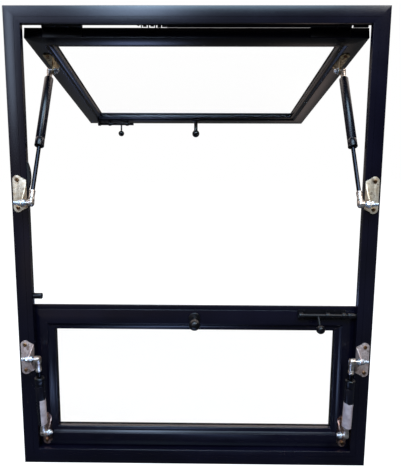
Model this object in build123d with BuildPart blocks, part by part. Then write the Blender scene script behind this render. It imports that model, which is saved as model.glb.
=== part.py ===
from build123d import *

import os
from math import cos, radians, sin, sqrt

# A two-sash concession window. The upper sash is hinged at the head and stands
# open on two gas struts, and the lower sash is hinged at the sill and closed.
# X runs to the right and Y out of the building, both seen from inside, Z is up.
# The origin is the middle of the sill's underside. All sizes are millimetres.

# Frame
frame_width = 900.0
frame_height = 1150.0
frame_depth = 45.0
frame_box = 26.0
frame_lip = 13.0
lip_depth = 17.0
frame_wall = 1.8
groove_width = 1.0
groove_depth = 0.7
frame_seal_width = 8.0
frame_seal_thickness = 2.0

# Sashes
rebate_gap = 4.0
hinge_gap = 9.0
meeting_gap = 3.5
sash_depth = 26.0
sash_box = 40.0
sash_wall = 1.8
glazing_leg = 15.5
glazing_leg_thickness = 3.0
lower_sash_height = 382.0
meeting_strip_height = 12.0
meeting_strip_depth = 6.0
upper_opening = 79.0

# Glass, beads and seals
glass_thickness = 5.0
glass_edge_cover = 12.0
glazing_seal_thickness = 1.0
glazing_seal_width = 9.0
bead_wall = 1.5
bead_flat = 5.5
bead_setback = 0.5
bead_fall = 5.0
bead_mitre_gap = 0.3

# Butt hinges
hinge_length = 96.0
hinge_from_sash_end = 94.0
knuckle_count = 3
knuckle_clearance = 0.4
leaf_thickness = 2.5
leaf_inset = 2.0
pin_stand_off = 2.0
pin_radius = 2.5
pin_clearance = 0.1
pin_head_height = 1.5

# Gas struts
ball_from_lip = 19.0
frame_stud_height = 30.0
sash_stud_height = 33.0
upper_frame_ball_drop = 456.0
upper_sash_ball_reach = 112.0
lower_frame_ball_height = 302.0
lower_sash_ball_reach = 60.0
tube_radius = 11.5
tube_wall = 1.5
rod_radius = 5.0
rod_clearance = 0.15
piston_radius = 9.8
piston_length = 8.0
upper_rod_inside = 22.0
lower_rod_inside = 90.0
rod_guide_length = 10.0
tube_end_length = 5.0
tube_end_rounding = 2.5
tube_ring_depth = 0.8
tube_ring_width = 3.0
tube_ring_from_end = 22.0
upper_tube_length = 208.0
lower_tube_length = 134.0
socket_radius = 9.0
socket_length = 16.0
socket_neck_radius = 6.5
socket_reach = 24.0
ball_radius = 6.5
ball_clearance = 0.1
stud_radius = 4.0
stud_hole_clearance = 0.1
frame_stud_tail = 21.0
sash_stud_tail = 11.0
nut_width = 13.0
nut_height = 6.5

# Strut brackets
bracket_length = 90.0
frame_bracket_width = 33.0
sash_bracket_width = 25.0
bracket_thickness = 2.5
bracket_ear_radius = 11.0
bracket_shoulder = 11.0
bracket_lobe_radius = 10.0
bracket_sweep = 3.0
bracket_screw_radius = 2.75
upper_frame_stud_from_end = 25.0
lower_frame_stud_from_end = 37.5
upper_sash_stud_from_end = 31.0
lower_sash_stud_from_end = 52.0
frame_bracket_inset = 1.0

# Barrel bolts
bolt_length = 123.0
bolt_width = 28.0
bolt_plate_thickness = 1.5
bolt_corner = 3.0
bolt_from_edge = 22.0
bolt_rod_radius = 5.0
bolt_rod_length = 140.0
bolt_rod_setback = 1.0
bolt_rod_axis = 9.5
bolt_rod_clearance = 0.2
bolt_throw = 21.0
guide_width = 10.0
guide_wall = 2.1
guide_foot_width = 26.0
guide_places = (7.0, 48.0, 116.0)
bolt_knob_place = 93.5
bolt_stem_radius = 3.0
bolt_knob_reach = 38.0
bolt_knob_radius = 11.0
lower_knob_turn = 45.0
keeper_radius = 7.5
keeper_length = 22.0
keeper_gap = 2.0
keeper_bore_clearance = 0.4

# Pull knobs and the buffer on the left jamb
knob_from_edge = 34.0
rosette_radius = 15.0
rosette_thickness = 4.0
rosette_rim = 2.0
knob_neck_radius = 7.0
knob_reach = 51.0
knob_radius = 14.0
buffer_above_ball = 64.0
buffer_length = 70.0
buffer_rise = 7.0
buffer_depth = 12.0

# Worked out from the sizes above
front_y = -frame_depth / 2
face_width = frame_box + frame_lip
sash_face_y = front_y + lip_depth + frame_seal_thickness
sash_width = frame_width - 2 * (frame_box + rebate_gap)
lower_sash_total = lower_sash_height + meeting_strip_height
rebate_height = frame_height - 2 * frame_box
upper_sash_height = rebate_height - 2 * hinge_gap - meeting_gap - lower_sash_total
knuckle_radius = hinge_gap / 2
axis_out = frame_depth / 2 - sash_face_y + pin_stand_off
hinge_centre = sash_width / 2 - hinge_from_sash_end
glass_inset = sash_box + glazing_leg - glass_edge_cover
glass_back = sash_depth - glazing_leg_thickness - glazing_seal_thickness - glass_thickness
bead_depth = glass_back - glazing_seal_thickness
lip_opening = frame_width - 2 * face_width
ball_plane = lip_opening / 2 - ball_from_lip
upper_frame_ball_height = frame_height - upper_frame_ball_drop
buffer_height = upper_frame_ball_height + buffer_above_ball
frame_bend = lip_opening / 2 + frame_bracket_inset
sash_bend = sash_width / 2 - sash_box
bolt_keeper_end = lip_opening / 2 - keeper_length - keeper_gap

os.makedirs("parts", exist_ok=True)


def sash_plane(upper, opening):
    """Plane on a sash's inner face: x along the hinge edge, y from it, z outward."""
    rise = -1 if upper else 1
    turn = radians(opening)
    along = Vector(0, sin(turn), rise * cos(turn))
    outward = Vector(0, cos(turn), -rise * sin(turn))
    edge_height = frame_box + knuckle_radius
    axis_height = frame_height - edge_height if upper else edge_height
    axis_point = Vector(0, sash_face_y + axis_out, axis_height)
    corner = axis_point + along * knuckle_radius - outward * axis_out
    return Plane(origin=corner, x_dir=(-rise, 0, 0), z_dir=outward)


upper_closed = sash_plane(True, 0)
upper_plane = sash_plane(True, upper_opening)
lower_plane = sash_plane(False, 0)


def member_planes(base, width, height):
    """Section planes of the four bars of a rectangle: x inward, y outward."""
    across, along, outward = base.x_dir, base.y_dir, base.z_dir
    near = base.from_local_coords((0, 0, 0))
    far = base.from_local_coords((0, height, 0))
    left = base.from_local_coords((-width / 2, height / 2, 0))
    right = base.from_local_coords((width / 2, height / 2, 0))
    return {
        "near": (Plane(origin=near, x_dir=along, z_dir=across), width),
        "far": (Plane(origin=far, x_dir=-along, z_dir=-across), width),
        "left": (Plane(origin=left, x_dir=across, z_dir=-along), height),
        "right": (Plane(origin=right, x_dir=-across, z_dir=along), height),
    }


def mitre_planes(section, length, gap):
    """The two planes that cut a bar's ends at 45 degrees, facing the bar."""
    planes = []
    for end in (-1, 1):
        corner = section.from_local_coords((0, 0, end * (length / 2 - gap)))
        facing = -section.x_dir - section.z_dir * end
        planes.append(Plane(origin=corner, z_dir=facing))
    return planes


def frame_member(name, section, length):
    """One mitred bar of the frame: a hollow box and the lip that stops the sash."""
    outline = [
        (0, 0),
        (face_width, 0),
        (face_width, lip_depth),
        (frame_box, lip_depth),
        (frame_box, frame_depth),
        (0, frame_depth),
    ]
    with BuildPart() as member:
        with BuildSketch(section):
            with BuildLine():
                Polyline(*outline, close=True)
            make_face()
            with Locations((frame_box / 2, frame_depth / 2)):
                Rectangle(frame_box - 2 * frame_wall, frame_depth - 2 * frame_wall, mode=Mode.SUBTRACT)
            with Locations((frame_box + (frame_lip - frame_wall) / 2, lip_depth / 2)):
                Rectangle(frame_lip - frame_wall, lip_depth - 2 * frame_wall, mode=Mode.SUBTRACT)
            with Locations((frame_box - frame_wall / 2, groove_depth / 2)):
                Rectangle(groove_width, groove_depth, mode=Mode.SUBTRACT)
        extrude(amount=length / 2, both=True)
        for plane in mitre_planes(section, length, 0):
            split(bisect_by=plane, keep=Keep.TOP)
    member.part.label = name
    export_step(member.part, f"parts/{name}.step")


def frame_seal():
    """Rubber seal on the back of the lip, all the way round."""
    seal_inset = frame_box + (frame_lip - frame_seal_width) / 2
    back = Plane(origin=(0, front_y + lip_depth, frame_height / 2), x_dir=(1, 0, 0), z_dir=(0, 1, 0))
    with BuildPart() as seal:
        with BuildSketch(back):
            Rectangle(frame_width - 2 * seal_inset, frame_height - 2 * seal_inset)
            inner = 2 * (seal_inset + frame_seal_width)
            Rectangle(frame_width - inner, frame_height - inner, mode=Mode.SUBTRACT)
        extrude(amount=frame_seal_thickness)
    seal.part.label = "frame_seal"
    export_step(seal.part, "parts/frame_seal.step")


def sash_member(name, section, length):
    """One mitred bar of a sash: a hollow box and the leg outside the glass."""
    leg_start = sash_depth - glazing_leg_thickness
    outline = [
        (0, 0),
        (sash_box, 0),
        (sash_box, leg_start),
        (sash_box + glazing_leg, leg_start),
        (sash_box + glazing_leg, sash_depth),
        (0, sash_depth),
    ]
    with BuildPart() as member:
        with BuildSketch(section):
            with BuildLine():
                Polyline(*outline, close=True)
            make_face()
            with Locations((sash_box / 2, sash_depth / 2)):
                Rectangle(sash_box - 2 * sash_wall, sash_depth - 2 * sash_wall, mode=Mode.SUBTRACT)
        extrude(amount=length / 2, both=True)
        for plane in mitre_planes(section, length, 0):
            split(bisect_by=plane, keep=Keep.TOP)
    member.part.label = name
    export_step(member.part, f"parts/{name}.step")


def glazing_beads(name, base, height):
    """Four hollow beads that hold the glass from inside, mitred with a hairline gap."""
    start = sash_box
    stop = sash_box + glazing_leg
    knee = start + bead_flat
    outline = [
        (start, bead_setback),
        (knee, bead_setback),
        (stop, bead_setback + bead_fall),
        (stop, bead_depth),
        (start, bead_depth),
    ]
    bars = []
    for section, length in member_planes(base, sash_width, height).values():
        with BuildPart() as bead:
            with BuildSketch(section):
                with BuildLine():
                    Polyline(*outline, close=True)
                make_face()
                offset(amount=-bead_wall, mode=Mode.SUBTRACT)
            extrude(amount=length / 2, both=True)
            for plane in mitre_planes(section, length, bead_mitre_gap):
                split(bisect_by=plane, keep=Keep.TOP)
        bars.append(bead.part)
    with BuildPart() as beads:
        add(bars)
    beads.part.label = name
    export_step(beads.part, f"parts/{name}.step")


def glass_pane(name, base, height):
    """One clear pane, held between the beads and the outer leg."""
    middle = base.offset(glass_back)
    with BuildPart() as pane:
        with BuildSketch(middle):
            with Locations((0, height / 2)):
                Rectangle(sash_width - 2 * glass_inset, height - 2 * glass_inset)
        extrude(amount=glass_thickness)
    pane.part.label = name
    export_step(pane.part, f"parts/{name}.step")


def glazing_seals(name, base, height):
    """Thin rubber rings on both faces of the glass."""
    inner_edge = sash_box + glazing_leg
    outer_edge = inner_edge - glazing_seal_width
    with BuildPart() as seals:
        for depth in (bead_depth, glass_back + glass_thickness):
            with BuildSketch(base.offset(depth)):
                with Locations((0, height / 2)):
                    Rectangle(sash_width - 2 * outer_edge, height - 2 * outer_edge)
                    Rectangle(sash_width - 2 * inner_edge, height - 2 * inner_edge, mode=Mode.SUBTRACT)
            extrude(amount=glazing_seal_thickness)
    seals.part.label = name
    export_step(seals.part, f"parts/{name}.step")


def meeting_strip():
    """Hollow upstand along the top of the lower sash, where the sashes meet."""
    height = lower_sash_height + meeting_strip_height / 2
    middle = lower_plane.from_local_coords((0, height, meeting_strip_depth / 2))
    section = Plane(origin=middle, x_dir=lower_plane.y_dir, z_dir=lower_plane.x_dir)
    with BuildPart() as strip:
        with BuildSketch(section):
            Rectangle(meeting_strip_height, meeting_strip_depth)
            Rectangle(
                meeting_strip_height - 2 * sash_wall,
                meeting_strip_depth - 2 * sash_wall,
                mode=Mode.SUBTRACT,
            )
        extrude(amount=sash_width / 2, both=True)
    strip.part.label = "lower_meeting_strip"
    export_step(strip.part, "parts/lower_meeting_strip.step")


def hinge_section(base, place):
    """Plane across a hinge: x outward and y toward the frame, both from the pin."""
    origin = base.from_local_coords((place, -knuckle_radius, axis_out))
    return Plane(origin=origin, x_dir=base.z_dir, z_dir=base.x_dir)


def hinge_leaves(name, base, on_frame):
    """A pair of leaves with their knuckles, on the frame or on the sash."""
    pitch = hinge_length / knuckle_count
    side = 1 if on_frame else -1
    plate_middle = side * (knuckle_radius - leaf_thickness / 2)
    plate_start = leaf_inset - axis_out
    plate_stop = -knuckle_radius - knuckle_clearance
    with BuildPart() as leaves:
        for centre in (-hinge_centre, hinge_centre):
            section = hinge_section(base, centre)
            with BuildSketch(section):
                with Locations(((plate_start + plate_stop) / 2, plate_middle)):
                    Rectangle(plate_stop - plate_start, leaf_thickness)
            extrude(amount=hinge_length / 2, both=True)
            for knuckle in range(0 if on_frame else 1, knuckle_count, 2):
                middle = (knuckle - (knuckle_count - 1) / 2) * pitch
                with BuildSketch(section.offset(middle)):
                    Circle(knuckle_radius)
                    with Locations((plate_stop / 2, plate_middle)):
                        Rectangle(-plate_stop, leaf_thickness)
                    Circle(pin_radius + pin_clearance, mode=Mode.SUBTRACT)
                extrude(amount=(pitch - knuckle_clearance) / 2, both=True)
    leaves.part.label = name
    export_step(leaves.part, f"parts/{name}.step")


def hinge_pins(name, base):
    """The two pins, with a head at each end."""
    with BuildPart() as pins:
        for centre in (-hinge_centre, hinge_centre):
            section = hinge_section(base, centre)
            with BuildSketch(section):
                Circle(pin_radius)
            extrude(amount=hinge_length / 2, both=True)
            for end in (-1, 1):
                with BuildSketch(section.offset(end * hinge_length / 2)):
                    Circle(knuckle_radius)
                extrude(amount=end * pin_head_height)
    pins.part.label = name
    export_step(pins.part, f"parts/{name}.step")


def strut_brackets(name, corner, ears, along, room, width, stud_height, stud_from_end):
    """A pair of pressed brackets, each a base with two screw ears and a leg for the stud.

    The corner is the end of the bend line. The base lies on its wall and reaches
    along the ears direction, and the leg stands out to the room.
    """
    base = Plane(origin=corner, x_dir=ears, z_dir=ears.cross(along))
    leg = Plane(origin=corner, x_dir=room, z_dir=room.cross(along))
    ear_x = width - bracket_ear_radius
    low_ear = bracket_ear_radius
    high_ear = bracket_length - bracket_ear_radius
    heel = (0, bracket_shoulder)
    foot = (0, bracket_length - bracket_shoulder)
    tip = (stud_height + bracket_lobe_radius, stud_from_end)
    chin = (stud_height, stud_from_end - bracket_lobe_radius)
    bow = ((foot[0] + tip[0]) / 2 - bracket_sweep, (foot[1] + tip[1]) / 2 - bracket_sweep)
    cheek_reach = bracket_lobe_radius * cos(radians(45))
    cheek = (stud_height + cheek_reach, stud_from_end - cheek_reach)
    with BuildPart() as brackets:
        with BuildSketch(base):
            with BuildLine():
                Polyline(heel, (ear_x, 0), (ear_x, bracket_length), foot, close=True)
            make_face()
            with Locations((ear_x, (low_ear + high_ear) / 2)):
                Rectangle(2 * bracket_ear_radius, high_ear - low_ear)
            with Locations((ear_x, low_ear), (ear_x, high_ear)):
                Circle(bracket_ear_radius)
                Circle(bracket_screw_radius, mode=Mode.SUBTRACT)
        extrude(amount=bracket_thickness, dir=room)
        with BuildSketch(leg):
            with BuildLine():
                ThreePointArc(foot, bow, tip)
                ThreePointArc(tip, cheek, chin)
                Polyline(chin, heel, foot)
            make_face()
            with Locations((stud_height, stud_from_end)):
                Circle(stud_radius + stud_hole_clearance, mode=Mode.SUBTRACT)
        extrude(amount=bracket_thickness, dir=ears)
        mirror(about=Plane.YZ)
    brackets.part.label = name
    export_step(brackets.part, f"parts/{name}.step")


def strut_plane(frame_ball, sash_ball):
    """Plane through a strut: the origin in the sash ball and y toward the frame ball."""
    along = (frame_ball - sash_ball).normalized()
    return Plane(origin=sash_ball, x_dir=(1, 0, 0), z_dir=Vector(1, 0, 0).cross(along))


def strut_tubes(name, frame_ball, sash_ball, tube_length):
    """A pair of hollow gas-strut tubes, closed at the sash, with a rod guide held by a rolled ring."""
    plane = strut_plane(frame_ball, sash_ball)
    start = socket_reach
    stop = start + tube_length
    ring = stop - tube_ring_from_end
    bore = rod_radius + rod_clearance
    inside = tube_radius - tube_wall
    with BuildPart() as tubes:
        with BuildSketch(plane):
            with BuildLine():
                Polyline(
                    (0, start),
                    (tube_radius - tube_end_rounding, start),
                    (tube_radius, start + tube_end_rounding),
                    (tube_radius, ring - tube_ring_width / 2),
                    (tube_radius - tube_ring_depth, ring),
                    (tube_radius, ring + tube_ring_width / 2),
                    (tube_radius, stop - tube_end_rounding),
                    (tube_radius - tube_end_rounding, stop),
                    (bore, stop),
                    (bore, stop - rod_guide_length),
                    (inside, stop - rod_guide_length),
                    (inside, start + tube_end_length),
                    (0, start + tube_end_length),
                    close=True,
                )
            make_face()
        revolve(axis=Axis(plane.origin, plane.y_dir))
        mirror(about=Plane.YZ)
    tubes.part.label = name
    export_step(tubes.part, f"parts/{name}.step")


def strut_rods(name, frame_ball, sash_ball, tube_length, rod_inside):
    """A pair of rods from the frame sockets into the tubes, each with its piston."""
    plane = strut_plane(frame_ball, sash_ball)
    rod_start = socket_reach + tube_length - rod_inside
    rod_stop = (frame_ball - sash_ball).length - socket_reach
    with BuildPart() as rods:
        with BuildSketch(plane):
            with BuildLine():
                Polyline(
                    (0, rod_start),
                    (piston_radius, rod_start),
                    (piston_radius, rod_start + piston_length),
                    (rod_radius, rod_start + piston_length),
                    (rod_radius, rod_stop),
                    (0, rod_stop),
                    close=True,
                )
            make_face()
        revolve(axis=Axis(plane.origin, plane.y_dir))
        mirror(about=Plane.YZ)
    rods.part.label = name
    export_step(rods.part, f"parts/{name}.step")


def strut_sockets(name, frame_ball, sash_ball):
    """The four cups over the ball studs, each bored for its ball, with a neck along the strut."""
    plane = strut_plane(frame_ball, sash_ball)
    seat = ball_radius + ball_clearance
    mouth = socket_length / 2
    with BuildPart() as sockets:
        for ball, facing, opening in ((frame_ball, -1, 1), (sash_ball, 1, -1)):
            neck = Plane(origin=ball, x_dir=(1, 0, 0), z_dir=plane.y_dir * facing)
            across = Plane(origin=ball, x_dir=plane.y_dir, z_dir=(1, 0, 0))
            with BuildSketch(neck):
                Circle(socket_neck_radius)
            extrude(amount=socket_reach)
            with BuildSketch(across):
                Circle(socket_radius)
            extrude(amount=mouth, both=True)
            with BuildSketch(across.offset(-opening * seat)):
                Circle(seat)
            extrude(amount=opening * (seat + mouth), mode=Mode.SUBTRACT)
        mirror(about=Plane.YZ)
    sockets.part.label = name
    export_step(sockets.part, f"parts/{name}.step")


def ball_studs(name, frame_ball, sash_ball):
    """The four ball studs with their nuts: two nuts at the frame, one at the sash."""
    frame_leg = frame_bend - frame_ball.X
    sash_leg = sash_ball.X - sash_bend
    frame_nuts = (frame_leg - nut_height, frame_leg + bracket_thickness)
    sash_nuts = (sash_leg,)
    frame_end = frame_leg + frame_stud_tail
    sash_end = sash_leg + sash_stud_tail
    ball_root = sqrt(ball_radius**2 - stud_radius**2)
    with BuildPart() as studs:
        at_frame = (frame_ball, 1, frame_end, frame_nuts)
        at_sash = (sash_ball, -1, sash_end, sash_nuts)
        for ball, way, end, nuts in (at_frame, at_sash):
            lengthwise = Plane(origin=ball, x_dir=(way, 0, 0), z_dir=(0, 0, 1))
            across = Plane(origin=ball, x_dir=(0, 1, 0), z_dir=(way, 0, 0))
            with BuildSketch(lengthwise):
                with BuildLine():
                    ThreePointArc((-ball_radius, 0), (0, ball_radius), (ball_root, stud_radius))
                    Polyline((ball_root, stud_radius), (end, stud_radius), (end, 0), (-ball_radius, 0))
                make_face()
            revolve(axis=Axis(ball, lengthwise.x_dir))
            for nut in nuts:
                with BuildSketch(across.offset(nut)):
                    RegularPolygon(nut_width / 2, 6, major_radius=False)
                extrude(amount=nut_height)
        mirror(about=Plane.YZ)
    studs.part.label = name
    export_step(studs.part, f"parts/{name}.step")


def bolt_face(base, height):
    """Plane of a bolt on the sash: x from the keeper end inward, z to the room."""
    origin = base.from_local_coords((-bolt_keeper_end, height - bolt_from_edge, 0))
    return Plane(origin=origin, x_dir=base.x_dir, z_dir=-base.z_dir)


def barrel_bolt(name, base, height):
    """A bolt plate with three guides for the rod."""
    face = bolt_face(base, height)
    bore = bolt_rod_radius + bolt_rod_clearance
    guide_radius = bore + guide_wall
    with BuildPart() as bolt:
        with BuildSketch(face):
            with Locations((bolt_length / 2, 0)):
                RectangleRounded(bolt_length, bolt_width, bolt_corner)
        extrude(amount=bolt_plate_thickness)
        for place in guide_places:
            middle = face.from_local_coords((place, 0, 0))
            with BuildSketch(Plane(origin=middle, x_dir=face.y_dir, z_dir=face.x_dir)):
                with Locations((0, bolt_plate_thickness + guide_wall / 2)):
                    Rectangle(guide_foot_width, guide_wall)
                with Locations((0, (bolt_plate_thickness + bolt_rod_axis) / 2)):
                    Rectangle(2 * guide_radius, bolt_rod_axis - bolt_plate_thickness)
                with Locations((0, bolt_rod_axis)):
                    Circle(guide_radius)
                    Circle(bore, mode=Mode.SUBTRACT)
            extrude(amount=guide_width / 2, both=True)
    bolt.part.label = name
    export_step(bolt.part, f"parts/{name}.step")


def barrel_bolt_rod(name, base, height, thrown, knob_turn):
    """The round rod and its knob, drawn back or thrown toward the keeper."""
    face = bolt_face(base, height)
    start = bolt_rod_setback - thrown
    knob_at = bolt_knob_place - thrown
    rod_end = face.from_local_coords((start, 0, bolt_rod_axis))
    stem_foot = face.from_local_coords((knob_at, 0, bolt_rod_axis))
    stem_way = face.z_dir * cos(radians(knob_turn)) + face.y_dir * sin(radians(knob_turn))
    stem = Plane(origin=stem_foot, x_dir=stem_way, z_dir=face.x_dir.cross(stem_way))
    knob_root = bolt_knob_reach - sqrt(bolt_knob_radius**2 - bolt_stem_radius**2)
    knob_end = bolt_knob_reach + bolt_knob_radius
    with BuildPart() as rod:
        with BuildSketch(Plane(origin=rod_end, x_dir=face.y_dir, z_dir=face.x_dir)):
            Circle(bolt_rod_radius)
        extrude(amount=bolt_rod_length)
        with BuildSketch(stem):
            with BuildLine():
                Polyline((knob_end, 0), (0, 0), (0, bolt_stem_radius), (knob_root, bolt_stem_radius))
                ThreePointArc(
                    (knob_root, bolt_stem_radius),
                    (bolt_knob_reach, bolt_knob_radius),
                    (knob_end, 0),
                )
            make_face()
        revolve(axis=Axis(stem_foot, stem_way))
    rod.part.label = name
    export_step(rod.part, f"parts/{name}.step")


def bolt_keepers():
    """The two tubes on the frame's lip that take the bolt rods."""
    bore = bolt_rod_radius + keeper_bore_clearance
    with BuildPart() as keepers:
        for base, height in ((upper_closed, upper_sash_height), (lower_plane, lower_sash_total)):
            face = bolt_face(base, height)
            start = face.from_local_coords((-keeper_gap, 0, bolt_rod_axis))
            with BuildSketch(Plane(origin=start, x_dir=face.y_dir, z_dir=-face.x_dir)):
                Circle(keeper_radius)
                Circle(bore, mode=Mode.SUBTRACT)
            extrude(amount=keeper_length)
    keepers.part.label = "bolt_keepers"
    export_step(keepers.part, "parts/bolt_keepers.step")


def pull_knobs():
    """Turned knobs with a rosette, near the meeting edge of each sash."""
    with BuildPart() as knobs:
        for base, height in ((upper_plane, upper_sash_height), (lower_plane, lower_sash_total)):
            foot = base.from_local_coords((0, height - knob_from_edge, 0))
            section = Plane(origin=foot, x_dir=base.x_dir, z_dir=base.y_dir)
            shoulder = knob_reach - sqrt(knob_radius**2 - knob_neck_radius**2)
            with BuildSketch(section):
                with BuildLine():
                    Polyline(
                        (0, knob_reach + knob_radius),
                        (0, 0),
                        (rosette_radius, 0),
                        (rosette_radius, rosette_thickness - rosette_rim),
                        (rosette_radius - rosette_rim, rosette_thickness),
                        (knob_neck_radius, rosette_thickness),
                        (knob_neck_radius, shoulder),
                    )
                    ThreePointArc(
                        (knob_neck_radius, shoulder),
                        (knob_radius, knob_reach),
                        (0, knob_reach + knob_radius),
                    )
                make_face()
            revolve(axis=Axis(foot, -base.z_dir))
    knobs.part.label = "pull_knobs"
    export_step(knobs.part, "parts/pull_knobs.step")


def sash_buffer():
    """Curved packer on the lip of the left jamb."""
    setback = front_y + (lip_depth - buffer_depth) / 2
    side = Plane(origin=(-lip_opening / 2, setback, buffer_height), x_dir=(0, 0, 1), z_dir=(0, 1, 0))
    with BuildPart() as block:
        with BuildSketch(side):
            with BuildLine():
                ThreePointArc((-buffer_length / 2, 0), (0, buffer_rise), (buffer_length / 2, 0))
                Line((buffer_length / 2, 0), (-buffer_length / 2, 0))
            make_face()
        extrude(amount=buffer_depth)
    block.part.label = "sash_buffer"
    export_step(block.part, "parts/sash_buffer.step")


def sash(name, base, height):
    """The four bars, glass, beads and seals of one sash."""
    members = member_planes(base, sash_width, height)
    rails = {"near": "hinge_rail", "far": "meeting_rail"}
    for place, (section, length) in members.items():
        stile = "right_stile" if section.x_dir.X < 0 else "left_stile"
        sash_member(f"{name}_{rails.get(place, stile)}", section, length)
    glazing_beads(f"{name}_glazing_beads", base, height)
    glass_pane(f"{name}_glass", base, height)
    glazing_seals(f"{name}_glazing_seals", base, height)


def gas_struts(
    name,
    base,
    reach,
    frame_height_of_ball,
    rise,
    tube_length,
    rod_inside,
    frame_stud_from_end,
    sash_stud_from_end,
):
    """Two gas struts with their ends and brackets, between the jambs and one sash."""
    frame_ball = Vector(ball_plane, front_y - frame_stud_height, frame_height_of_ball)
    sash_face = base.from_local_coords((0, reach, 0))
    sash_ball = sash_face - base.z_dir * sash_stud_height + Vector(ball_plane, 0, 0)
    strut_tubes(f"{name}_strut_tubes", frame_ball, sash_ball, tube_length)
    strut_rods(f"{name}_strut_rods", frame_ball, sash_ball, tube_length, rod_inside)
    strut_sockets(f"{name}_strut_sockets", frame_ball, sash_ball)
    ball_studs(f"{name}_ball_studs", frame_ball, sash_ball)

    outward = Vector(1, 0, 0)
    upright = Vector(0, 0, rise)
    frame_corner = Vector(frame_bend, front_y, frame_height_of_ball) - upright * frame_stud_from_end
    strut_brackets(
        f"{name}_frame_brackets",
        frame_corner,
        outward,
        upright,
        Vector(0, -1, 0),
        frame_bracket_width,
        frame_stud_height,
        frame_stud_from_end,
    )
    sash_corner = sash_face + outward * sash_bend - base.y_dir * sash_stud_from_end
    strut_brackets(
        f"{name}_sash_brackets",
        sash_corner,
        outward,
        base.y_dir,
        -base.z_dir,
        sash_bracket_width,
        sash_stud_height,
        sash_stud_from_end,
    )


# Frame
frame_face = Plane(origin=(0, front_y, frame_height), x_dir=(1, 0, 0), z_dir=(0, 1, 0))
frame_names = {
    "near": "frame_head",
    "far": "frame_sill",
    "left": "frame_left_jamb",
    "right": "frame_right_jamb",
}
for place, (section, length) in member_planes(frame_face, frame_width, frame_height).items():
    frame_member(frame_names[place], section, length)
frame_seal()
sash_buffer()

# Sashes
sash("upper_sash", upper_plane, upper_sash_height)
sash("lower_sash", lower_plane, lower_sash_height)
meeting_strip()

# Hinges
hinge_leaves("upper_hinge_frame_leaves", upper_closed, True)
hinge_leaves("upper_hinge_sash_leaves", upper_plane, False)
hinge_pins("upper_hinge_pins", upper_closed)
hinge_leaves("lower_hinge_frame_leaves", lower_plane, True)
hinge_leaves("lower_hinge_sash_leaves", lower_plane, False)
hinge_pins("lower_hinge_pins", lower_plane)

# Gas struts
gas_struts(
    "upper",
    upper_plane,
    upper_sash_ball_reach,
    upper_frame_ball_height,
    1,
    upper_tube_length,
    upper_rod_inside,
    upper_frame_stud_from_end,
    upper_sash_stud_from_end,
)
gas_struts(
    "lower",
    lower_plane,
    lower_sash_ball_reach,
    lower_frame_ball_height,
    -1,
    lower_tube_length,
    lower_rod_inside,
    lower_frame_stud_from_end,
    lower_sash_stud_from_end,
)

# Bolts and knobs
barrel_bolt("upper_bolt", upper_plane, upper_sash_height)
barrel_bolt_rod("upper_bolt_rod", upper_plane, upper_sash_height, 0, 0)
barrel_bolt("lower_bolt", lower_plane, lower_sash_total)
barrel_bolt_rod("lower_bolt_rod", lower_plane, lower_sash_total, bolt_throw, lower_knob_turn)
bolt_keepers()
pull_knobs()
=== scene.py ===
import math

import bpy
from mathutils import Matrix, Vector


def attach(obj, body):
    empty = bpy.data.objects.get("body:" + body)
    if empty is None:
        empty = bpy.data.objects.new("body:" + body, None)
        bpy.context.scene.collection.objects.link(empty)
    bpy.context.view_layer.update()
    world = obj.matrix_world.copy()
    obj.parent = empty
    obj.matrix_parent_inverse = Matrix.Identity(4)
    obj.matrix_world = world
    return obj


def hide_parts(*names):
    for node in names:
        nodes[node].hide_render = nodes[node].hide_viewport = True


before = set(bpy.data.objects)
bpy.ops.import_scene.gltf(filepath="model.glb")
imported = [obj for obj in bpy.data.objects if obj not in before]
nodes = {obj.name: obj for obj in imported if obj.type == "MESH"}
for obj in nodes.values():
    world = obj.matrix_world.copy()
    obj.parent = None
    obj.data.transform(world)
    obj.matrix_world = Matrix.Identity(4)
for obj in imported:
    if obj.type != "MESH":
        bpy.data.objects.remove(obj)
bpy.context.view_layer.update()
mm = 0.001
print("frame loaded,", len(nodes), "nodes")


# Small helpers

def hexColour(code):
    # an sRGB hex colour as the linear colour that Blender's sockets take
    parts = [int(code[i:i + 2], 16) / 255 for i in (1, 3, 5)]
    return [c / 12.92 if c <= 0.04045 else ((c + 0.055) / 1.055) ** 2.4 for c in parts] + [1.0]


def addNode(tree, kind, inputs, **settings):
    # one node with its settings; an input that is given a socket is linked to it
    node = tree.nodes.new(kind)
    for name, value in settings.items():
        setattr(node, name, value)
    for name, value in inputs.items():
        if isinstance(value, bpy.types.NodeSocket):
            tree.links.new(value, node.inputs[name])
        else:
            node.inputs[name].default_value = value
    return node


def newMaterial(name):
    material = bpy.data.materials.new(name)
    material.use_nodes = True
    tree = material.node_tree
    shader = tree.nodes["Principled BSDF"]
    place = addNode(tree, "ShaderNodeTexCoord", {}).outputs["Object"]
    return material, tree, shader, place


def setRamp(ramp, stops):
    # stops are (position, colour)
    while len(ramp.elements) < len(stops):
        ramp.elements.new(1.0)
    for element, (position, colour) in zip(ramp.elements, stops):
        element.position = position
        element.color = colour


def deselectAll():
    bpy.ops.object.select_all(action="DESELECT")


def selectOnly(piece):
    deselectAll()
    piece.select_set(True)
    bpy.context.view_layer.objects.active = piece


def applyPlace():
    # the active object's place, turn and scale go into its mesh
    bpy.ops.object.transform_apply(location=True, rotation=True, scale=True)


def editAll(piece):
    # into edit mode with everything selected
    selectOnly(piece)
    bpy.ops.object.mode_set(mode="EDIT")
    bpy.ops.mesh.select_all(action="SELECT")


def faceOutward():
    # the last step in edit mode: every face turned outward
    bpy.ops.mesh.select_all(action="SELECT")
    bpy.ops.mesh.normals_make_consistent(inside=False)
    leaveEdit()


def leaveEdit():
    bpy.ops.object.mode_set(mode="OBJECT")


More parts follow.
